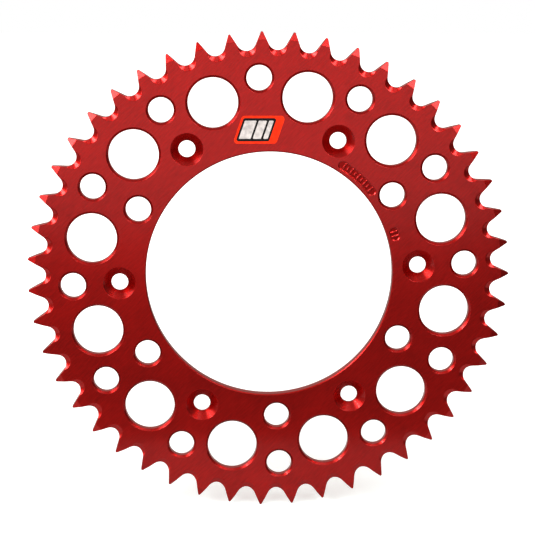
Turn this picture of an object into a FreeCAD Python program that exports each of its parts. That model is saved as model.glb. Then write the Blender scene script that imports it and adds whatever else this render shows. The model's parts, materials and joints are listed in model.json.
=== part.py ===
"""Rear sprocket for a 520 chain: one machined plate, with a small layered decal on its front.

Frame: the origin is the centre of the bore, midway through the plate. Y is the wheel axle and the
front face looks along -Y. Z is up, and X is to the right as the front is seen. Millimetres, and
degrees in the names that end in angle, phase or middle. Angles about the axle run from +X to +Z.
"""
import FreeCAD, Part
import Sketcher
import math
import os

DRIVING_SIZES = {
    # chain and teeth
    "chain_pitch": 15.875,
    "roller_seat_radius": 5.08,
    "tooth_count": 47,
    "flank_angle": 24,
    "tip_radius": 123.0,
    "tip_chamfer_start": 118.9,
    "tip_chamfer_depth": 1.35,
    # scallops that let mud out at the tooth roots
    "scallop_ring": 115.4,
    "scallop_rim": 4.6,
    "scallop_core": 1.6,
    "scallop_depth": 1.8,
    # plate and bore
    "plate_thickness": 5.8,
    "bore_radius": 63.0,
    "bore_chamfer": 0.5,
    # hole rings, all counted from the angle of the first bolt hole
    "hole_phase": 3.1,
    "hole_chamfer": 1.1,
    "large_ring": 92.1,
    "large_radius": 12.7,
    "outer_ring": 100.1,
    "inner_ring": 74.5,
    "small_radius": 6.45,
    "bolt_ring": 76.5,
    "bolt_radius": 4.3,
    "countersink_radius": 8.3,
    "bolt_back_chamfer": 0.3,
    # engraved recesses beside the bore, with plain raised bars left standing in them
    "recess_ring": 67.1,
    "recess_depth": 0.4,
    "strip_middle": 48.2,
    "strip_half_angle": 8.5,
    "strip_half_width": 2.35,
    "badge_middle": 18.0,
    "badge_half_angle": 1.0,
    "badge_half_width": 2.45,
    "bar_width": 0.5,
    "tall_bar": 3.0,
    "short_bar": 1.6,
    "bar_step_angle": 1.9,
    # decal
    "decal_x": -5.4,
    "decal_z": 74.1,
    "film_width": 22.0,
    "film_height": 14.0,
    "film_slant": 4.8,
    "film_corner": 1.8,
    "film_thickness": 0.15,
    "print_thickness": 0.05,
    "black_width": 16.6,
    "black_height": 11.6,
    "black_corner": 1.0,
    "black_shift": -1.5,
    "silver_height": 9.2,
    "silver_corner": 0.4,
    "silver_gap": 1.0,
    "silver_bar_1": 6.0,
    "silver_bar_2": 4.2,
    "silver_bar_3": 2.4,
}

# count of holes in each ring, with the angle from the first bolt hole and the arc that they span
LARGE_HOLES = {"count": 12, "start": 15, "span": 360}
OUTER_HOLES = {"count": 12, "start": 0, "span": 360}
INNER_HOLES = {"count": 5, "start": 30, "span": 240}
BOLT_HOLES = {"count": 6, "start": 0, "span": 360}
STRIP_BARS = range(-4, 5)
BADGE_BARS = (-0.5, 0.5)
TOOTH_OVERCUT = 1.0

PITCH_RADIUS = "(sizes.chain_pitch / 2 / sin(180 deg / sizes.tooth_count))"
GAP_ANGLE = "180 deg / sizes.tooth_count"
FLANK_SLOPE = "(180 deg / sizes.tooth_count + sizes.flank_angle * 1 deg)"
# the front face looks along -Y; a sketch on the XZ plane faces that way, so there it lies at +HALF_THICK
HALF_THICK = "(sizes.plate_thickness / 2)"
FRONT = f"(-{HALF_THICK})"
DECAL_SLANT = "(sizes.film_slant / sizes.film_height)"

document = FreeCAD.newDocument("rear_sprocket")


def make_sheet():
    """The driving sizes, one to a row, each with its alias."""
    sheet = document.addObject("Spreadsheet::Sheet", "sizes")
    for row, (name, value) in enumerate(DRIVING_SIZES.items(), start=1):
        sheet.set(f"A{row}", name)
        sheet.set(f"B{row}", str(value))
        sheet.setAlias(f"B{row}", name)
    document.recompute()
    return sheet


sheet = make_sheet()


def value_of(expression):
    """The present value of an expression on the sheet, as a plain number."""
    value = sheet.evalExpression(expression)
    return float(getattr(value, "Value", value))


# ---- sketches ---------------------------------------------------------------------------------

def new_body(label):
    body = document.addObject("PartDesign::Body", label)
    body.Label = label
    body.Placement = FreeCAD.Placement()
    return body


def origin_feature(body, role):
    return next(item for item in body.Origin.OriginFeatures if item.Role == role)


def new_sketch(body, name, plane, shift=("0", "0", "0"), turn=None):
    """A sketch on one of the body's own planes, shifted by x, y, z and turned about its normal."""
    sketch = body.newObject("Sketcher::SketchObject", name)
    sketch.AttachmentSupport = [(origin_feature(body, plane), "")]
    sketch.MapMode = "FlatFace"
    for axis, expression in zip("xyz", shift):
        sketch.setExpression(f".AttachmentOffset.Base.{axis}", expression)
    if turn:
        sketch.AttachmentOffset = FreeCAD.Placement(
            FreeCAD.Vector(), FreeCAD.Rotation(FreeCAD.Vector(0, 0, 1), value_of(turn)))
        sketch.setExpression(".AttachmentOffset.Rotation.Angle", turn)
    return sketch


def bind(sketch, constraint, expression):
    index = sketch.addConstraint(constraint)
    sketch.setExpression(f"Constraints[{index}]", expression)


def pin(sketch, geometry, position, across=None, up=None):
    """Ties a point of the sketch to expressions for its two coordinates."""
    for kind, expression in (("DistanceX", across), ("DistanceY", up)):
        if expression:
            distance = value_of(expression)
            bind(sketch, Sketcher.Constraint(kind, -1, 1, geometry, position, distance), expression)


def vector(point):
    return FreeCAD.Vector(value_of(point[0]), value_of(point[1]), 0)


def circle_arc(start, end, centre, clockwise):
    """The arc from start to end about centre; sketch arcs always run anticlockwise."""
    first, last = (end, start) if clockwise else (start, end)
    spokes = [first - centre, last - centre]
    angles = [math.atan2(spoke.y, spoke.x) for spoke in spokes]
    circle = Part.Circle(centre, FreeCAD.Vector(0, 0, 1), spokes[0].Length)
    return Part.ArcOfCircle(circle, *angles)


def draw_outline(sketch, corners, arcs=None):
    """A closed outline through corners, which are pairs of expressions.

    arcs maps the number of a side to (centre, clockwise, pinned coordinate of the centre).
    """
    arcs = arcs or {}
    points = [vector(corner) for corner in corners]
    ends = []
    for side, (start, end) in enumerate(zip(points, points[1:] + points[:1])):
        if side in arcs:
            centre, clockwise, pinned = arcs[side]
            geometry = sketch.addGeometry(circle_arc(start, end, vector(centre), clockwise), False)
            ends.append((geometry, 2, 1) if clockwise else (geometry, 1, 2))
        else:
            ends.append((sketch.addGeometry(Part.LineSegment(start, end), False), 1, 2))
    for (side, _, last), (following, first, _) in zip(ends, ends[1:] + ends[:1]):
        sketch.addConstraint(Sketcher.Constraint("Coincident", side, last, following, first))
    for (side, first, _), (across, up) in zip(ends, corners):
        pin(sketch, side, first, across, up)
    for side, (centre, _, pinned) in arcs.items():
        across, up = centre
        if pinned == "x":
            pin(sketch, ends[side][0], 3, across=across)
        else:
            pin(sketch, ends[side][0], 3, up=up)


# ---- features ---------------------------------------------------------------------------------

def turned(body, kind, name, sketch, axis):
    """A Revolution or a Groove of the sketch, a full turn about the given axis."""
    feature = body.newObject(f"PartDesign::{kind}", name)
    feature.Profile = sketch
    feature.ReferenceAxis = axis
    feature.Angle = 360
    document.recompute()
    return feature


def pattern(body, name, originals, count, span=360):
    """Repeats features about the axle; span is the arc from the first to the last copy."""
    feature = body.newObject("PartDesign::PolarPattern", name)
    feature.Originals = originals
    feature.Axis = (origin_feature(body, "Y_Axis"), [""])
    feature.Angle = span
    if isinstance(count, str):
        feature.setExpression("Occurrences", count)
    else:
        feature.Occurrences = count
    body.Tip = feature
    document.recompute()
    return feature


def check_cut(body, before, name):
    """Stops if the last feature took nothing away."""
    if body.Shape.Volume > before - 0.01:
        raise RuntimeError(f"{name} cut nothing")


# ---- the plate --------------------------------------------------------------------------------

def cut_blank(body):
    """The turned disc: bore with broken edges, flat faces, and the coned rim of the teeth."""
    sketch = new_sketch(body, "blank_profile", "XY_Plane")
    bevel = f"({HALF_THICK} - sizes.bore_chamfer)"
    rim = f"({HALF_THICK} - sizes.tip_chamfer_depth)"
    half = [("sizes.bore_radius", bevel),
            ("sizes.bore_radius + sizes.bore_chamfer", HALF_THICK),
            ("sizes.tip_chamfer_start", HALF_THICK),
            ("sizes.tip_radius", rim)]
    mirrored = [(radius, f"-{height}") for radius, height in reversed(half)]
    draw_outline(sketch, half + mirrored)
    turned(body, "Revolution", "blank", sketch, (sketch, ["V_Axis"]))


def cut_teeth(body):
    """One roller gap and its mud scallops, repeated for every tooth."""
    volume = body.Shape.Volume
    gap = new_sketch(body, "gap_outline", "XZ_Plane", turn=GAP_ANGLE)
    seat_x = f"({PITCH_RADIUS} - sizes.roller_seat_radius * sin({FLANK_SLOPE}))"
    seat_y = f"(sizes.roller_seat_radius * cos({FLANK_SLOPE}))"
    mouth_x = f"(sizes.tip_radius + {TOOTH_OVERCUT})"
    mouth_y = f"({seat_y} + ({mouth_x} - {seat_x}) * tan({FLANK_SLOPE}))"
    corners = [(seat_x, f"-{seat_y}"), (mouth_x, f"-{mouth_y}"), (mouth_x, mouth_y), (seat_x, seat_y)]
    draw_outline(gap, corners, {3: ((PITCH_RADIUS, "0"), False, "x")})
    pocket = body.newObject("PartDesign::Pocket", "tooth_gap")
    pocket.Profile = gap
    pocket.Type = "ThroughAll"
    pocket.SideType = "Symmetric"
    document.recompute()
    check_cut(body, volume, "tooth_gap")

    volume = body.Shape.Volume
    centre = (f"sizes.scallop_ring * cos({GAP_ANGLE})", "0", f"sizes.scallop_ring * sin({GAP_ANGLE})")
    profile = new_sketch(body, "scallop_profile", "XY_Plane", shift=centre)
    floor = f"({HALF_THICK} - sizes.scallop_depth)"
    half = [("0", HALF_THICK), ("sizes.scallop_rim", HALF_THICK), ("sizes.scallop_core", floor)]
    mirrored = [(radius, f"-{height}") for radius, height in reversed(half)]
    draw_outline(profile, half + mirrored)
    scallop = turned(body, "Groove", "scallop", profile, (profile, ["V_Axis"]))
    check_cut(body, volume, "scallop")
    pattern(body, "teeth", [pocket, scallop], "sizes.tooth_count")


def cut_holes(body, name, ring, layout, front, back):
    """A ring of through holes, each turned about its own axis.

    front is (radius at the face, radius inside, depth of the cone); back is (radius at the
    face, depth of the cone).
    """
    volume = body.Shape.Volume
    angle = f"(sizes.hole_phase * 1 deg + {layout['start']} deg)"
    centre = (f"{ring} * cos({angle})", "0", f"{ring} * sin({angle})")
    profile = new_sketch(body, f"{name}_profile", "XY_Plane", shift=centre)
    mouth, radius, depth = front
    exit_mouth, exit_depth = back
    corners = [("0", FRONT), (mouth, FRONT), (radius, f"({FRONT} + {depth})"),
               (radius, f"({HALF_THICK} - {exit_depth})"), (exit_mouth, HALF_THICK),
               ("0", HALF_THICK)]
    draw_outline(profile, corners)
    hole = turned(body, "Groove", name, profile, (profile, ["V_Axis"]))
    check_cut(body, volume, name)
    pattern(body, f"{name}_ring", [hole], layout["count"], layout["span"])


def cut_chamfered_holes(body, name, ring, layout, radius):
    """A ring of plain holes with the same chamfer on both faces."""
    mouth = f"({radius} + sizes.hole_chamfer)"
    front = (mouth, radius, "sizes.hole_chamfer")
    cut_holes(body, name, ring, layout, front, (mouth, "sizes.hole_chamfer"))


def cut_bolt_holes(body):
    """Countersunk from the front, with a light chamfer on the hub side."""
    front = ("sizes.countersink_radius", "sizes.bolt_radius",
             "(sizes.countersink_radius - sizes.bolt_radius)")
    back = ("(sizes.bolt_radius + sizes.bolt_back_chamfer)", "sizes.bolt_back_chamfer")
    cut_holes(body, "bolt_hole", "sizes.bolt_ring", BOLT_HOLES, front, back)


def on_ring(radius, angle, sideways="0"):
    """A point at a radius and an angle, moved sideways along the tangent."""
    across = f"({radius} * cos({angle}) - {sideways} * sin({angle}))"
    up = f"({radius} * sin({angle}) + {sideways} * cos({angle}))"
    return across, up


def draw_ring_slot(sketch, half_width, half_angle):
    """A slot with round ends that follows the recess ring, centred on the sketch's x axis."""
    outer = f"(sizes.recess_ring + {half_width})"
    inner = f"(sizes.recess_ring - {half_width})"
    ahead = f"({half_angle} * 1 deg)"
    behind = f"(-{half_angle} * 1 deg)"
    corners = [on_ring(inner, behind), on_ring(outer, behind), on_ring(outer, ahead),
               on_ring(inner, ahead)]
    arcs = {0: (on_ring("sizes.recess_ring", behind), False, "y"),
            1: (("0", "0"), False, "x"),
            2: (on_ring("sizes.recess_ring", ahead), False, "y"),
            3: (("0", "0"), True, "x")}
    draw_outline(sketch, corners, arcs)


def draw_bar(sketch, steps, height):
    """One upright bar, a number of steps along the ring from the sketch's x axis."""
    angle = f"({steps} * sizes.bar_step_angle * 1 deg)"
    inner = f"(sizes.recess_ring - {height} / 2)"
    outer = f"(sizes.recess_ring + {height} / 2)"
    half = "(sizes.bar_width / 2)"
    corners = [on_ring(inner, angle, f"-{half}"), on_ring(outer, angle, f"-{half}"),
               on_ring(outer, angle, half), on_ring(inner, angle, half)]
    draw_outline(sketch, corners)


def cut_recess(body, name, bars):
    """A shallow engraved slot in the front face, around bars that are given as (steps, height)."""
    volume = body.Shape.Volume
    turn = f"sizes.{name}_middle * 1 deg"
    sketch = new_sketch(body, f"{name}_outline", "XZ_Plane", ("0", "0", HALF_THICK), turn)
    draw_ring_slot(sketch, f"sizes.{name}_half_width", f"sizes.{name}_half_angle")
    for steps, height in bars:
        draw_bar(sketch, steps, height)
    pocket = body.newObject("PartDesign::Pocket", f"{name}_recess")
    pocket.Profile = sketch
    pocket.setExpression("Length", "sizes.recess_depth")
    body.Tip = pocket
    document.recompute()
    check_cut(body, volume, name)


def make_plate():
    body = new_body("sprocket_plate")
    cut_blank(body)
    cut_teeth(body)
    cut_chamfered_holes(body, "large_hole", "sizes.large_ring", LARGE_HOLES, "sizes.large_radius")
    cut_chamfered_holes(body, "outer_hole", "sizes.outer_ring", OUTER_HOLES, "sizes.small_radius")
    cut_chamfered_holes(body, "inner_hole", "sizes.inner_ring", INNER_HOLES, "sizes.small_radius")
    cut_bolt_holes(body)
    strip = [(step, "sizes.short_bar" if step % 2 else "sizes.tall_bar") for step in STRIP_BARS]
    cut_recess(body, "strip", strip)
    cut_recess(body, "badge", [(step, "sizes.tall_bar") for step in BADGE_BARS])
    return body


# ---- the decal --------------------------------------------------------------------------------

def draw_leaning_bar(sketch, middle, width, height):
    """A bar that leans with the decal's slant, its middle shifted along x."""
    lean = f"({height} * {DECAL_SLANT} / 2)"
    half = f"({width} / 2)"
    corners = [(f"({middle} - {half} - {lean})", f"(-{height} / 2)"),
               (f"({middle} + {half} - {lean})", f"(-{height} / 2)"),
               (f"({middle} + {half} + {lean})", f"({height} / 2)"),
               (f"({middle} - {half} + {lean})", f"({height} / 2)")]
    draw_outline(sketch, corners)


def make_layer(label, base, thickness, bars, corner):
    """One flat layer of the decal: bars as (middle, width, height), standing on the base height."""
    body = new_body(label)
    body.AllowCompound = True
    shift = ("sizes.decal_x", "sizes.decal_z", base)
    sketch = new_sketch(body, f"{label}_outline", "XZ_Plane", shift=shift)
    for middle, width, height in bars:
        draw_leaning_bar(sketch, middle, width, height)
    pad = body.newObject("PartDesign::Pad", f"{label}_pad")
    pad.Profile = sketch
    pad.setExpression("Length", thickness)
    document.recompute()
    upright = [f"Edge{number}" for number, edge in enumerate(pad.Shape.Edges, start=1)
               if abs(edge.tangentAt(edge.FirstParameter).y) > 0.99]
    fillet = body.newObject("PartDesign::Fillet", f"{label}_corners")
    fillet.Base = (pad, upright)
    fillet.setExpression("Radius", corner)
    body.Tip = fillet
    return body


def make_decal():
    """The orange film, its black print and the silver bars on the black, each on the one below."""
    film_top = f"({HALF_THICK} + sizes.film_thickness)"
    black_top = f"({film_top} + sizes.print_thickness)"
    film = [("0", "sizes.film_width", "sizes.film_height")]
    black = [("sizes.black_shift", "sizes.black_width", "sizes.black_height")]
    total = "(sizes.silver_bar_1 + sizes.silver_bar_2 + sizes.silver_bar_3 + 2 * sizes.silver_gap)"
    left = f"(sizes.black_shift - {total} / 2)"
    silver = []
    for width in ("sizes.silver_bar_1", "sizes.silver_bar_2", "sizes.silver_bar_3"):
        silver.append((f"({left} + {width} / 2)", width, "sizes.silver_height"))
        left = f"({left} + {width} + sizes.silver_gap)"
    return [make_layer("decal_film", HALF_THICK, "sizes.film_thickness", film, "sizes.film_corner"),
            make_layer("decal_black_print", film_top, "sizes.print_thickness", black,
                       "sizes.black_corner"),
            make_layer("decal_silver_print", black_top, "sizes.print_thickness", silver,
                       "sizes.silver_corner")]


# ---- build, check and write -------------------------------------------------------------------

def check_document():
    for item in document.Objects:
        if "Invalid" in item.State or "Error" in item.State:
            raise RuntimeError(f"{item.Name} failed: {item.State}")


def write_part(body):
    shape = body.Shape
    if shape.isNull() or not shape.isValid():
        raise RuntimeError(f"{body.Label} has no valid shape")
    shape.exportStep(f"parts/{body.Label}.step")
    print(f"{body.Label}: {len(shape.Solids)} solid(s), {shape.Volume:.1f} mm3")


bodies = [make_plate()] + make_decal()
document.recompute()
check_document()
os.makedirs("parts", exist_ok=True)
for body in bodies:
    write_part(body)
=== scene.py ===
"""Looks of the rear sprocket: its anodised plate, its decal, and a plain white studio around it.

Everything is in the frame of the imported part: the axle is Y, the front looks along -Y and Z is up.
The plate is drawn in millimetres on the front view, x to the right and z up, and scaled at the end.
"""
import math

import bpy
import numpy as np
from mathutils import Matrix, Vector
from mathutils.geometry import delaunay_2d_cdt
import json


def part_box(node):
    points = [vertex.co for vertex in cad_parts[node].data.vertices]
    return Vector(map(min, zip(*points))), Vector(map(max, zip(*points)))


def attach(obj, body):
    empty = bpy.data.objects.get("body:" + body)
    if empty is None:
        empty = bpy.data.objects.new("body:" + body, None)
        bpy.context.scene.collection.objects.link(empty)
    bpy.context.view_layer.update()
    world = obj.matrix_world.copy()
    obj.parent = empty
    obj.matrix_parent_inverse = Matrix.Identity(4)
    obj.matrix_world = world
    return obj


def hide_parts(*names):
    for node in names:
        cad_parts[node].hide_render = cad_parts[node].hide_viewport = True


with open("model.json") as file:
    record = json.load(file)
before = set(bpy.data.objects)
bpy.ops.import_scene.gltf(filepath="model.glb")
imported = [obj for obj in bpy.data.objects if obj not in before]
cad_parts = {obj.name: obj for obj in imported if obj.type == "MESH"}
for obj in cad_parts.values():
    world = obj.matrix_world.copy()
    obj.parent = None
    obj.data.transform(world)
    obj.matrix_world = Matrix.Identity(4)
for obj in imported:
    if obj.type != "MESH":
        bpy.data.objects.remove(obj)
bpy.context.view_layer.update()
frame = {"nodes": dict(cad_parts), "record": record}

MM = 0.001
mounts = {mount["name"]: mount for mount in frame["record"]["mounts"]}
plate_low, plate_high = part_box("sprocket_plate")

# ---- sizes that the frame gives ------------------------------------------------------------------

HALF_THICK = plate_high.y / MM
BORE = mounts["hub_bore"]["dims"]["r_mm"]
BOLT_RING = mounts["hub_bolts"]["dims"]["pcd_mm"] / 2
BOLT_HOLE = mounts["hub_bolts"]["dims"]["hole_r_mm"]
TIP = plate_high.x / MM

# ---- sizes of the plate's details, in millimetres ------------------------------------------------

TEETH = 47
CHAIN_PITCH = 15.875
ROLLER_SEAT = 5.08
FLANK = math.radians(24)
TIP_CONE_START = 118.9
TIP_CONE_DEPTH = 1.35
SCALLOP_RING = 115.4
SCALLOP_RIM = 4.6
SCALLOP_SLOPE = 1.8 / 3.0
SCALLOP_ROUND = 0.5   # width of the rounding where a scallop meets the face
BORE_CHAMFER = 0.5
HOLE_CHAMFER = 1.1
LARGE_RING, LARGE_HOLE = 92.1, 12.7
OUTER_RING, INNER_RING, SMALL_HOLE = 100.1, 74.5, 6.45
COUNTERSINK = 8.3
BOLT_BACK_CHAMFER = 0.3
PHASE = math.radians(3.1)
RECESS_RING, RECESS_DEPTH, RECESS_WALL = 67.1, 0.4, 0.55
EDGE = 0.12           # half the width of every rounded edge
# how strongly the rounded edges and the walls take the painted pinkish edge highlight
EDGE_HIGHLIGHT, WALL_HIGHLIGHT = 1.0, 0.4
SCALLOP_SWEEP = 1.9   # half the angle that a scallop's rim lines cover, in radians
CRISP = 0.03          # how far the lines on a recess's wall stay from its two edges

PITCH = CHAIN_PITCH / 2 / math.sin(math.pi / TEETH)
TOOTH_STEP = 2 * math.pi / TEETH


def polar(radius, angle):
    return np.array([radius * math.cos(angle), radius * math.sin(angle)])


def turn(points, angle):
    """Points turned about the axle."""
    cosine, sine = math.cos(angle), math.sin(angle)
    return np.asarray(points) @ np.array([[cosine, sine], [-sine, cosine]])


# ---- holes: (centre, radius, depth of the front cone, depth of the back cone, number of sides) ---

def hole_ring(ring, radius, front_cone, back_cone, sides, angles):
    return [(polar(ring, PHASE + math.radians(angle)), radius, front_cone, back_cone, sides)
            for angle in angles]


HOLES = (hole_ring(LARGE_RING, LARGE_HOLE, HOLE_CHAMFER, HOLE_CHAMFER, 96, range(15, 375, 30))
         + hole_ring(OUTER_RING, SMALL_HOLE, HOLE_CHAMFER, HOLE_CHAMFER, 64, range(0, 360, 30))
         + hole_ring(INNER_RING, SMALL_HOLE, HOLE_CHAMFER, HOLE_CHAMFER, 64, range(150, 391, 60))
         + hole_ring(BOLT_RING, BOLT_HOLE, COUNTERSINK - BOLT_HOLE, BOLT_BACK_CHAMFER, 72,
                     range(0, 360, 60))
         + [(np.zeros(2), BORE, BORE_CHAMFER, BORE_CHAMFER, 384)])


# ---- engraved recesses: (middle angle, half angle, half width, bars) -----------------------------

# each bar is (angle from the middle, height)
BAR_STEP = math.radians(1.9)
BAR_WIDTH, TALL_BAR, SHORT_BAR = 0.5, 3.0, 1.6
STRIP_BARS = [(step * BAR_STEP, SHORT_BAR if step % 2 else TALL_BAR) for step in range(-4, 5)]
BADGE_BARS = [(step * BAR_STEP, TALL_BAR) for step in (-0.5, 0.5)]
RECESSES = [(math.radians(48.2), math.radians(8.5), 2.35, STRIP_BARS),
            (math.radians(18.0), math.radians(1.0), 2.45, BADGE_BARS)]


# ---- the teeth in plan ---------------------------------------------------------------------------

def tooth_outline(seat_steps=18, flank_steps=5, nose_steps=8):
    """One tooth from the middle of one roller seat to the next: points and outward normals.

    The tooth stands on the x axis. Its flanks are tangent to both seats and to a round nose.
    """
    seat = polar(PITCH, -TOOTH_STEP / 2)
    reach = seat[0] * math.sin(FLANK) - seat[1] * math.cos(FLANK) - ROLLER_SEAT
    apex = reach / math.sin(FLANK)
    nose = (apex - TIP) * math.sin(FLANK) / (1 - math.sin(FLANK))
    nose_middle = np.array([TIP - nose, 0.0])
    points, normals = [], []
    # the seat, from its deepest point up to the flank
    deepest = math.pi - TOOTH_STEP / 2
    tangent = math.pi / 2 + FLANK
    for angle in np.linspace(deepest, tangent, seat_steps + 1):
        spoke = polar(1, angle)
        points.append(seat + ROLLER_SEAT * spoke)
        normals.append(-spoke)
    # the flank, then the nose up to the tip
    flank_normal = polar(1, FLANK - math.pi / 2)
    flank_end = nose_middle + nose * flank_normal
    start = points[-1]
    for share in np.linspace(0, 1, flank_steps + 2)[1:-1]:
        points.append(start + share * (flank_end - start))
        normals.append(flank_normal)
    for angle in np.linspace(FLANK - math.pi / 2, 0, nose_steps + 1):
        normals.append(polar(1, angle))
        points.append(nose_middle + nose * normals[-1])
    # the other half mirrors it
    flip = np.array([1, -1])
    points = np.array(points)
    normals = np.array(normals)
    points = np.vstack([points, points[-2:0:-1] * flip])
    normals = np.vstack([normals, normals[-2:0:-1] * flip])
    return points, normals


def rim_outline():
    """All the teeth in one closed loop, with the outward normal at each point."""
    points, normals = tooth_outline()
    angles = [tooth * TOOTH_STEP for tooth in range(TEETH)]
    return (np.vstack([turn(points, angle) for angle in angles]),
            np.vstack([turn(normals, angle) for angle in angles]))


# ---- the plate's relief: how deep each point of a face lies below the flat -----------------------

def recess_depth(points, middle, half_angle, half_width, bars):
    """Depth inside one engraved slot, around the bars that stand in it."""
    local = turn(points, -middle)
    angles = np.arctan2(local[:, 1], local[:, 0])
    along = np.clip(angles, -half_angle, half_angle)
    centreline = RECESS_RING * np.stack([np.cos(along), np.sin(along)], axis=1)
    inside = half_width - np.linalg.norm(local - centreline, axis=1)
    for bar_angle, bar_height in bars:
        offset = np.abs(turn(local, -bar_angle) - [RECESS_RING, 0])
        outside = np.maximum(offset - [bar_height / 2, BAR_WIDTH / 2], 0)
        inner = np.minimum(np.max(offset - [bar_height / 2, BAR_WIDTH / 2], axis=1), 0)
        inside = np.minimum(inside, np.linalg.norm(outside, axis=1) + inner)
    return RECESS_DEPTH * np.clip(inside / RECESS_WALL, 0, 1)


def relief(points, front):
    """Depth below the flat face at each point of the front or the back view."""
    radius = np.linalg.norm(points, axis=1)
    depth = np.maximum(radius - TIP_CONE_START, 0) * TIP_CONE_DEPTH / (TIP - TIP_CONE_START)
    step = np.arctan2(points[:, 1], points[:, 0]) / TOOTH_STEP
    from_gap = (step - np.floor(step) - 0.5) * TOOTH_STEP
    seat = np.stack([radius * np.cos(from_gap) - SCALLOP_RING, radius * np.sin(from_gap)], axis=1)
    reach = np.linalg.norm(seat, axis=1)
    inward = np.maximum(SCALLOP_RIM - reach, 0)
    rounded = inward * np.minimum(inward / SCALLOP_ROUND, 1) / 2
    depth = np.maximum(depth, SCALLOP_SLOPE * np.maximum(rounded, inward - SCALLOP_ROUND / 2))
    for centre, hole, front_cone, back_cone, _ in HOLES:
        cone = front_cone if front else back_cone
        reach = np.linalg.norm(points - centre, axis=1)
        depth = np.maximum(depth, hole + cone - reach)
    if front:
        for recess in RECESSES:
            depth = np.maximum(depth, recess_depth(points, *recess))
    return depth


def relief_slope(points, front, step=0.01):
    """How fast the relief deepens along x and along z."""
    slopes = []
    for axis in np.eye(2):
        ahead = relief(points + step * axis, front)
        behind = relief(points - step * axis, front)
        slopes.append((ahead - behind) / (2 * step))
    return np.stack(slopes, axis=1)


# ---- the lines that a face's mesh follows --------------------------------------------------------

def arc(centre, radius, first, last, steps):
    angles = np.linspace(first, last, steps + 1)
    return np.asarray(centre) + radius * np.stack([np.cos(angles), np.sin(angles)], axis=1)


def circle(centre, radius, sides):
    return arc(centre, radius, 0, 2 * math.pi, sides)[:-1]


def slot_loop(middle, half_angle, half_width, side_steps=20, end_steps=14):
    """The outline of a slot with round ends along the recess ring."""
    ends = [polar(RECESS_RING, angle) for angle in (-half_angle, half_angle)]
    outer = arc((0, 0), RECESS_RING + half_width, -half_angle, half_angle, side_steps)
    far = arc(ends[1], half_width, half_angle, half_angle + math.pi, end_steps)
    inner = arc((0, 0), RECESS_RING - half_width, half_angle, -half_angle, side_steps)
    near = arc(ends[0], half_width, math.pi - half_angle, 2 * math.pi - half_angle,
               end_steps)
    return turn(np.vstack([outer[:-1], far[:-1], inner[:-1], near[:-1]]), middle)


def bar_loop(middle, angle, height, grow):
    across, along = height / 2 + grow, BAR_WIDTH / 2 + grow
    corners = np.array([(-across, -along), (across, -along), (across, along), (-across, along)])
    return turn(corners + [RECESS_RING, 0], middle + angle)


def wall_offsets():
    """Where the lines run on a recess's steep wall, so that its two edges stay crisp."""
    return (-CRISP, CRISP, RECESS_WALL - CRISP, RECESS_WALL + CRISP)


def face_lines(rim, rim_normals, front):
    """Edges of the solid as seen from one side, then open and closed lines on the face itself."""
    edges = [rim - EDGE * rim_normals]
    loops, arcs = [], []
    for centre, hole, front_cone, back_cone, sides in HOLES:
        mouth = hole + (front_cone if front else back_cone)
        edges.append(circle(centre, hole + EDGE, sides))
        loops.append(circle(centre, mouth - EDGE / 2, sides))
        loops.append(circle(centre, mouth + EDGE / 2, sides))
    tip_reach = math.atan2(ROLLER_SEAT / 2, TIP_CONE_START)
    for tooth in range(TEETH):
        angle = tooth * TOOTH_STEP
        for side in (-EDGE, EDGE):
            arcs.append(arc((0, 0), TIP_CONE_START + side, angle - tip_reach, angle + tip_reach, 5))
        seat = polar(SCALLOP_RING, angle + TOOTH_STEP / 2)
        inward = angle + TOOTH_STEP / 2 + math.pi
        for share in (0, 0.5, 1):
            reach = SCALLOP_RIM - share * SCALLOP_ROUND
            arcs.append(arc(seat, reach, inward - SCALLOP_SWEEP, inward + SCALLOP_SWEEP, 22))
    if front:
        for middle, half_angle, half_width, bars in RECESSES:
            for offset in wall_offsets():
                loops.append(slot_loop(middle, half_angle, half_width - offset))
                loops += [bar_loop(middle, angle, height, offset) for angle, height in bars]
    return edges, loops, arcs


# ---- meshing one face ----------------------------------------------------------------------------

def inside_edges(points, edges):
    """Which points lie in the solid, by counting the edge lines to one side of each."""
    crossings = np.zeros(len(points), int)
    x, z = points[:, 0], points[:, 1]
    for edge in edges:
        starts, ends = edge, np.roll(edge, -1, axis=0)
        for (start_x, start_z), (end_x, end_z) in zip(starts, ends):
            spans = (start_z > z) != (end_z > z)
            if start_z != end_z:
                cross = start_x + (z - start_z) / (end_z - start_z) * (end_x - start_x)
                crossings += spans & (x < cross)
    return crossings % 2 == 1


def mesh_face(edges, loops, arcs):
    """Triangles over the solid part of one face, along every line that is given."""
    points, links = [], []
    for line, closed in [(e, True) for e in edges + loops] + [(a, False) for a in arcs]:
        first = len(points)
        points += [Vector(point) for point in line]
        links += [(first + n, first + n + 1) for n in range(len(line) - 1)]
        if closed:
            links.append((len(points) - 1, first))
    found = delaunay_2d_cdt(points, links, [], 0, 1e-6)
    plan = np.array([tuple(point) for point in found[0]])
    triangles = np.array(found[2])
    kept = inside_edges(plan[triangles].mean(axis=1), edges)
    return plan, triangles[kept]


# ---- the plate as one closed mesh ----------------------------------------------------------------

def edge_normals(points, rim, rim_normals):
    """At points on the edges of a face, the direction in plan that leads off the solid."""
    normals = np.zeros_like(points)
    radius = np.linalg.norm(points, axis=1)
    found = np.zeros(len(points), bool)
    for centre, hole, *_ in HOLES:
        spokes = points - centre
        reach = np.linalg.norm(spokes, axis=1)
        near = np.abs(reach - hole - EDGE) < EDGE / 2
        normals[near] = -spokes[near] / reach[near, None]
        found |= near
    line = rim - EDGE * rim_normals
    for index in np.flatnonzero(~found & (radius > SCALLOP_RING - SCALLOP_RIM)):
        gaps = np.linalg.norm(line - points[index], axis=1)
        first, second = np.argsort(gaps)[:2]
        blend = gaps[second] * rim_normals[first] + gaps[first] * rim_normals[second]
        normals[index] = blend / np.linalg.norm(blend)
    return normals


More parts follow.
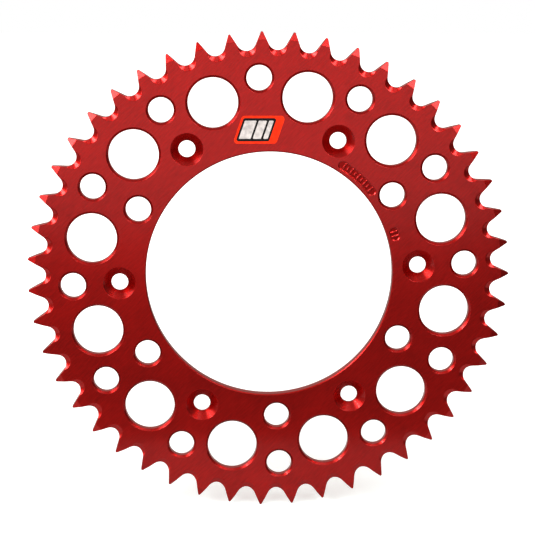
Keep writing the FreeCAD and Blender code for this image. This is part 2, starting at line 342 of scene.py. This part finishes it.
def open_edges(triangles):
    """The edges that only one triangle has, in that triangle's direction."""
    directed = np.vstack([triangles[:, [0, 1]], triangles[:, [1, 2]], triangles[:, [2, 0]]])
    known = {tuple(edge) for edge in directed.tolist()}
    return [edge for edge in known if (edge[1], edge[0]) not in known]


def unit(vectors):
    return vectors / np.linalg.norm(vectors, axis=1)[:, None]


class Solid:
    """Gathers vertices with their normals and marks, then makes the mesh."""

    def __init__(self):
        self.places, self.normals, self.marks, self.faces = [], [], [], []

    def add(self, places, normals, marks):
        first = sum(map(len, self.places))
        self.places.append(places)
        self.normals.append(unit(normals))
        self.marks.append(marks)
        return first

    def make(self, name):
        mesh = bpy.data.meshes.new(name)
        mesh.from_pydata((np.vstack(self.places) * MM).tolist(), [], self.faces)
        # the first mark says where the painted edge highlight goes
        for column, mark in enumerate(("painted_edge_highlight", "turned", "lathe_radius", "engraved")):
            layer = mesh.attributes.new(mark, "FLOAT", "POINT")
            layer.data.foreach_set("value", np.vstack(self.marks)[:, column].astype(np.float32))
        mesh.polygons.foreach_set("use_smooth", [True] * len(mesh.polygons))
        mesh.normals_split_custom_set_from_vertices(np.vstack(self.normals).tolist())
        mesh.validate()
        thing = bpy.data.objects.new(name, mesh)
        bpy.context.scene.collection.objects.link(thing)
        return thing


def raised(plan, height):
    """Plan points put at a height along the axle."""
    return np.stack([plan[:, 0], np.broadcast_to(height, len(plan)), plan[:, 1]], axis=1)


def surface_marks(plan, front, highlight):
    """Four columns: painted edge highlight, whether a drill cut here, the distance from its axis,
    recess floors.
    """
    marks = np.zeros((len(plan), 4))
    marks[:, 0] = highlight
    # the recess floors, which the material paints darker as shade
    if front:
        for recess in RECESSES:
            marks[:, 3] += recess_depth(plan, *recess) > 0.99 * RECESS_DEPTH
    for centre, hole, front_cone, back_cone, _ in HOLES[:-1]:
        mouth = hole + (front_cone if front else back_cone) + EDGE
        reach = np.linalg.norm(plan - centre, axis=1)
        near = reach < mouth
        marks[near, 1] = reach[near] < mouth - EDGE
        marks[near, 2] = reach[near]
    return marks


def add_face(solid, plan, triangles, front):
    """One face with its relief. Gives the number in the solid of each of its plan points."""
    way = -1 if front else 1
    used = np.unique(triangles)
    number = np.full(len(plan), -1)
    plan_used = plan[used]
    slope = relief_slope(plan_used, front)
    normals = raised(slope, way)
    places = raised(plan_used, way * (HALF_THICK - relief(plan_used, front)))
    first = solid.add(places, normals, surface_marks(plan_used, front, 0))
    number[used] = first + np.arange(len(used))
    order = [0, 1, 2] if front else [0, 2, 1]
    solid.faces += number[triangles[:, order]].tolist()
    return number


def add_wall_rows(solid, plan, outward, front):
    """The rounded edge between a face and the wall: its middle row and the wall's first row."""
    way = -1 if front else 1
    top = HALF_THICK - relief(plan, front)
    face_normals = unit(raised(relief_slope(plan, front), way))
    wall_normals = raised(outward, 0.0)
    corner = math.sqrt(0.5)
    # the middle row of each rounded edge gets the full painted highlight, the wall row a weaker one
    middle = solid.add(raised(plan + corner * EDGE * outward, way * (top - (1 - corner) * EDGE)),
                       face_normals + wall_normals, surface_marks(plan, front, EDGE_HIGHLIGHT))
    wall = solid.add(raised(plan + EDGE * outward, way * (top - EDGE)), wall_normals,
                     surface_marks(plan, front, WALL_HIGHLIGHT))
    return middle, wall


def make_plate():
    rim, rim_normals = rim_outline()
    solid = Solid()
    plans, numbers, triangles = {}, {}, {}
    for front in (True, False):
        plans[front], triangles[front] = mesh_face(*face_lines(rim, rim_normals, front))
        numbers[front] = add_face(solid, plans[front], triangles[front], front)
    edges = open_edges(triangles[True])
    corners = sorted({corner for edge in edges for corner in edge})
    column = {corner: n for n, corner in enumerate(corners)}
    plan = plans[True][corners]
    key = {tuple(point): n for n, point in enumerate(np.round(plans[False], 4).tolist())}
    behind = [key[tuple(point)] for point in np.round(plan, 4).tolist()]
    outward = edge_normals(plan, rim, rim_normals)
    front_middle, front_wall = add_wall_rows(solid, plan, outward, True)
    back_middle, back_wall = add_wall_rows(solid, plan, outward, False)
    steps = np.arange(len(corners))
    rows = [numbers[True][corners], front_middle + steps, front_wall + steps,
            back_wall + steps, back_middle + steps, numbers[False][behind]]
    for start, end in edges:
        here, there = column[start], column[end]
        for near, far in zip(rows, rows[1:]):
            solid.faces.append([int(near[here]), int(far[here]), int(far[there]), int(near[there])])
    return solid.make("anodised_plate")


# ---- materials -----------------------------------------------------------------------------------

class Nodes:
    """A material's node tree, with one short call for each node."""

    def __init__(self, name):
        self.material = bpy.data.materials.new(name)
        self.material.use_nodes = True
        self.tree = self.material.node_tree
        self.tree.nodes.clear()
        self.output = self.tree.nodes.new("ShaderNodeOutputMaterial")
        self.shader = self.tree.nodes.new("ShaderNodeBsdfPrincipled")
        self.tree.links.new(self.shader.outputs[0], self.output.inputs["Surface"])

    def join(self, value, socket):
        if isinstance(value, bpy.types.NodeSocket):
            self.tree.links.new(value, socket)
        else:
            socket.default_value = value

    def node(self, kind, inputs=None, output=0, **settings):
        made = self.tree.nodes.new(f"ShaderNode{kind}")
        for name, value in settings.items():
            setattr(made, name, value)
        for name, value in (inputs or {}).items():
            self.join(value, made.inputs[name])
        return made.outputs[output]

    def place(self):
        return self.node("TexCoord", output="Object")

    def mark(self, name):
        return self.node("Attribute", output="Fac", attribute_name=name)

    def scaled(self, vector, scale):
        return self.node("Mapping", {"Vector": vector, "Scale": scale})

    def noise(self, vector, scale, detail=3.0, roughness=0.6):
        inputs = {"Vector": vector, "Scale": scale, "Detail": detail, "Roughness": roughness}
        return self.node("TexNoise", inputs, output="Fac")

    def sums(self, operation, *values):
        return self.node("Math", dict(enumerate(values)), operation=operation)

    def ramp(self, value, low, high, out_low=0.0, out_high=1.0):
        inputs = {"Value": value, "From Min": low, "From Max": high,
                  "To Min": out_low, "To Max": out_high}
        return self.node("MapRange", inputs)

    def mix(self, share, first, second):
        made = self.tree.nodes.new("ShaderNodeMix")
        made.data_type = "RGBA"
        self.join(share, made.inputs["Factor"])
        self.join(first, made.inputs["A"])
        self.join(second, made.inputs["B"])
        return made.outputs["Result"]

    def bump(self, height, distance, normal=None):
        inputs = {"Height": height, "Distance": distance, "Strength": 1.0}
        if normal:
            inputs["Normal"] = normal
        return self.node("Bump", inputs, output="Normal")

    def finish(self, **inputs):
        for name, value in inputs.items():
            self.join(value, self.shader.inputs[name.replace("_", " ")])
        return self.material


ANODISED_RED = (0.47, 0.007, 0.005, 1)
ANODISED_DEEP = (0.34, 0.004, 0.002, 1)
# painted highlight: the pale pinkish colour that the rounded edges and walls are mixed towards
ANODISED_HIGHLIGHT = (0.62, 0.10, 0.08, 1)
# painted shade: the darker colour given to the recess floors
ANODISED_RECESS_SHADE = (0.30, 0.004, 0.003, 1)

# noise scales per metre, and bump heights in metres
CLOUD_SCALE, GRAIN_SCALE = 38.0, 2600.0
LINE_SLANT, LINE_SCALES = math.radians(45), (170.0, 1400.0, 1400.0)
RING_SCALE = 7.0      # per millimetre of lathe_radius
GRAIN_BUMP, LINE_BUMP, RING_BUMP = 0.000012, 0.000011, 0.00003
PATCHY_FROM, PATCHY_TO = 1.1, 1.9
SMOOTHEST, ROUGHEST, TURNED_SMOOTHER = 0.28, 0.32, 0.03
COAT_WEIGHT, COAT_WEIGHT_ENGRAVED = 0.5, 0.15
COAT_ROUGHNESS, COAT_IOR = 0.14, 1.6


def anodised_material():
    """Satin red anodised aluminium: fine grain, faint milling lines, a painted pinkish highlight on
    the sharp edges and walls, and painted shade on the recess floors.
    """
    nodes = Nodes("anodised_red")
    place = nodes.place()
    cloud = nodes.noise(place, CLOUD_SCALE)
    grain = nodes.noise(place, GRAIN_SCALE, detail=2.0)
    slanted = nodes.node("Mapping", {"Vector": place, "Rotation": (0, LINE_SLANT, 0)})
    lines = nodes.noise(nodes.scaled(slanted, LINE_SCALES), 1.0)
    turned = nodes.mark("turned")
    radius = nodes.mark("lathe_radius")
    rings = nodes.noise(nodes.node("CombineXYZ", {"X": radius}), RING_SCALE)
    patchy = nodes.ramp(nodes.sums("ADD", cloud, nodes.sums("ADD", lines, lines)),
                        PATCHY_FROM, PATCHY_TO)
    colour = nodes.mix(patchy, ANODISED_DEEP, ANODISED_RED)
    # painted shade: the recess floors made darker
    engraved = nodes.mark("engraved")
    colour = nodes.mix(engraved, colour, ANODISED_RECESS_SHADE)
    # painted highlight: rounded edges and walls made paler and pinker, speckled by the fine grain
    edge_sheen = nodes.sums("MULTIPLY", nodes.mark("painted_edge_highlight"), nodes.ramp(grain, 0.35, 0.6, 0.15, 0.6))
    colour = nodes.mix(edge_sheen, colour, ANODISED_HIGHLIGHT)
    rough = nodes.ramp(cloud, 0.25, 0.75, SMOOTHEST, ROUGHEST)
    rough = nodes.sums("SUBTRACT", rough, nodes.sums("MULTIPLY", turned, TURNED_SMOOTHER))
    flat = nodes.sums("SUBTRACT", 1.0, turned)
    fine = nodes.bump(nodes.sums("MULTIPLY", grain, flat), GRAIN_BUMP)
    milled = nodes.bump(nodes.sums("MULTIPLY", lines, flat), LINE_BUMP, normal=fine)
    ringed = nodes.bump(nodes.sums("MULTIPLY", rings, turned), RING_BUMP, normal=milled)
    return nodes.finish(Base_Color=colour, Metallic=1.0, Roughness=rough, Normal=ringed,
                        Coat_Weight=nodes.ramp(engraved, 0, 1, COAT_WEIGHT, COAT_WEIGHT_ENGRAVED),
                        Coat_Roughness=COAT_ROUGHNESS, Coat_IOR=COAT_IOR)


VINYL_ORANGE, VINYL_DARK = (0.85, 0.045, 0.006, 1), (0.75, 0.030, 0.004, 1)
INK_BLACK, INK_BLACK_DARK = (0.012, 0.011, 0.012, 1), (0.006, 0.006, 0.007, 1)
INK_SILVER, INK_SILVER_DARK = (0.62, 0.63, 0.61, 1), (0.42, 0.43, 0.42, 1)
FILM_ROUGHNESS, SILVER_ROUGHNESS = 0.32, 0.36


def film_material(name, colour, dark, roughness=FILM_ROUGHNESS):
    """Satin printed film, with a faint unevenness in its colour and surface."""
    nodes = Nodes(name)
    place = nodes.place()
    cloud = nodes.noise(place, 420.0)
    tone = nodes.mix(nodes.ramp(cloud, 0.35, 0.65), dark, colour)
    rough = nodes.ramp(nodes.noise(place, 900.0), 0.3, 0.7, roughness - 0.05, roughness + 0.07)
    peel = nodes.bump(nodes.noise(place, 1500.0), 0.000015)
    return nodes.finish(Base_Color=tone, Roughness=rough, Normal=peel, Specular_IOR_Level=0.2)


def give(thing, material):
    thing.data.materials.clear()
    thing.data.materials.append(material)


# ---- camera and studio ---------------------------------------------------------------------------

CAMERA_PLACE = Vector((-0.0340, -0.8121, 0.1552))
CAMERA_TURN = (79.407, -0.213, -2.295)
CAMERA_LENS = 108.71

FLOOR_SIZE = 6.0
FLOOR_FRONT = -0.12
FLOOR_TONES = (0.50, 0.62, 0.62, 1), (0.54, 0.66, 0.66, 1)
FLOOR_GLOW_COLOUR = (0.93, 1.0, 0.99, 1)
FLOOR_GLOW_NEAR, FLOOR_GLOW_FAR = 0.56, 1.12
FLOOR_GLOW_START, FLOOR_GLOW_END = 0.15, 0.60   # metres from where the teeth touch the floor

ROOM_TOWARDS = (-0.6, 0.0, 0.8)
ROOM_AWAY, ROOM_NEAR = -0.8, 0.9   # dot products with ROOM_TOWARDS at the two brightnesses
ROOM_DIM, ROOM_BRIGHT = 0.18, 0.85
ROOM_TINT = (1.0, 0.65, 0.60, 1)

DISPLAY_GAMMA = 0.86   # below 1, so it darkens the middle tones


def make_camera():
    data = bpy.data.cameras.new("camera")
    data.lens = CAMERA_LENS
    data.sensor_width = 36.0
    camera = bpy.data.objects.new("camera", data)
    camera.location = CAMERA_PLACE
    camera.rotation_euler = [math.radians(angle) for angle in CAMERA_TURN]
    bpy.context.scene.collection.objects.link(camera)
    bpy.context.scene.camera = camera


def make_softbox(name, around, off_axis, distance, width, height, radiance):
    """A soft light: around is its angle on the front view, off_axis its angle from the axle.

    Angles are in degrees and sizes in metres. Radiance is how bright the box looks.
    """
    spoke = polar(math.sin(math.radians(off_axis)), math.radians(around))
    place = Vector((spoke[0], -math.cos(math.radians(off_axis)), spoke[1])) * distance
    data = bpy.data.lights.new(name, "AREA")
    data.shape = "RECTANGLE"
    data.size, data.size_y = width, height
    data.energy = radiance * math.pi * width * height
    light = bpy.data.objects.new(name, data)
    light.location = place
    light.rotation_euler = (-place).to_track_quat("-Z", "Y").to_euler()
    bpy.context.scene.collection.objects.link(light)


def make_floor():
    """A backlit white floor that the lowest teeth touch, so that it runs into the white room."""
    middle = (0, FLOOR_FRONT + FLOOR_SIZE / 2, plate_low.z)
    bpy.ops.mesh.primitive_plane_add(size=FLOOR_SIZE, location=middle)
    floor = bpy.context.object
    floor.name = "floor"
    nodes = Nodes("floor_white")
    place = nodes.place()
    cloud = nodes.noise(place, 3.0)
    tone = nodes.mix(cloud, *FLOOR_TONES)
    reach = nodes.node("VectorMath", {0: place, 1: (0, -middle[1], 0)}, output="Value",
                       operation="DISTANCE")
    seen = nodes.node("LightPath", output="Is Camera Ray")
    glow = nodes.ramp(reach, FLOOR_GLOW_START, FLOOR_GLOW_END, FLOOR_GLOW_NEAR, FLOOR_GLOW_FAR)
    glow = nodes.sums("MULTIPLY", glow, seen)
    give(floor, nodes.finish(Base_Color=tone, Roughness=0.7, Emission_Strength=glow,
                             Emission_Color=FLOOR_GLOW_COLOUR))


def make_world():
    """A white room to the camera; the metal sees a dim one, brighter to the upper left."""
    world = bpy.data.worlds.new("studio")
    bpy.context.scene.world = world
    world.use_nodes = True
    tree = world.node_tree
    tree.nodes.clear()
    output = tree.nodes.new("ShaderNodeOutputWorld")
    white = tree.nodes.new("ShaderNodeBackground")
    white.inputs["Color"].default_value = (1, 1, 1, 1)
    room = tree.nodes.new("ShaderNodeBackground")
    room.inputs["Color"].default_value = ROOM_TINT
    place = tree.nodes.new("ShaderNodeTexCoord")
    along = tree.nodes.new("ShaderNodeVectorMath")
    along.operation = "DOT_PRODUCT"
    along.inputs[1].default_value = ROOM_TOWARDS
    fade = tree.nodes.new("ShaderNodeMapRange")
    fade.inputs["From Min"].default_value = ROOM_AWAY
    fade.inputs["From Max"].default_value = ROOM_NEAR
    fade.inputs["To Min"].default_value = ROOM_DIM
    fade.inputs["To Max"].default_value = ROOM_BRIGHT
    tree.links.new(place.outputs["Generated"], along.inputs[0])
    tree.links.new(along.outputs["Value"], fade.inputs["Value"])
    tree.links.new(fade.outputs[0], room.inputs["Strength"])
    seen = tree.nodes.new("ShaderNodeLightPath")
    mixed = tree.nodes.new("ShaderNodeMixShader")
    tree.links.new(seen.outputs["Is Camera Ray"], mixed.inputs[0])
    tree.links.new(room.outputs[0], mixed.inputs[1])
    tree.links.new(white.outputs[0], mixed.inputs[2])
    tree.links.new(mixed.outputs[0], output.inputs["Surface"])


# ---- everything together -------------------------------------------------------------------------

make_camera()
make_world()
make_floor()
make_softbox("ahead", 200, 2, 1.6, 1.0, 0.45, 1.0)
make_softbox("key_left", 142, 40, 1.2, 0.45, 0.45, 7.0)
make_softbox("high_left", 142, 62, 1.2, 0.45, 0.45, 8.0)
make_softbox("wide_left", 140, 72, 1.2, 0.9, 0.8, 1.4)
make_softbox("side_left", 168, 50, 1.2, 0.45, 0.6, 3.0)
make_softbox("key_right", 45, 37, 1.2, 0.6, 0.5, 5.0)
make_softbox("high_right", 52, 58, 1.2, 0.4, 0.4, 6.0)
make_softbox("top", 90, 42, 1.2, 0.4, 0.3, 1.5)
make_softbox("top_far", 82, 64, 1.2, 0.9, 0.4, 0.9)
bpy.context.scene.view_settings.view_transform = "Standard"
bpy.context.scene.view_settings.gamma = DISPLAY_GAMMA

plate = make_plate()
give(plate, anodised_material())
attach(plate, "root")
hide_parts("sprocket_plate")

give(frame["nodes"]["decal_film"], film_material("vinyl_orange", VINYL_ORANGE, VINYL_DARK))
give(frame["nodes"]["decal_black_print"], film_material("ink_black", INK_BLACK, INK_BLACK_DARK))
give(frame["nodes"]["decal_silver_print"],
     film_material("ink_silver", INK_SILVER, INK_SILVER_DARK, SILVER_ROUGHNESS))
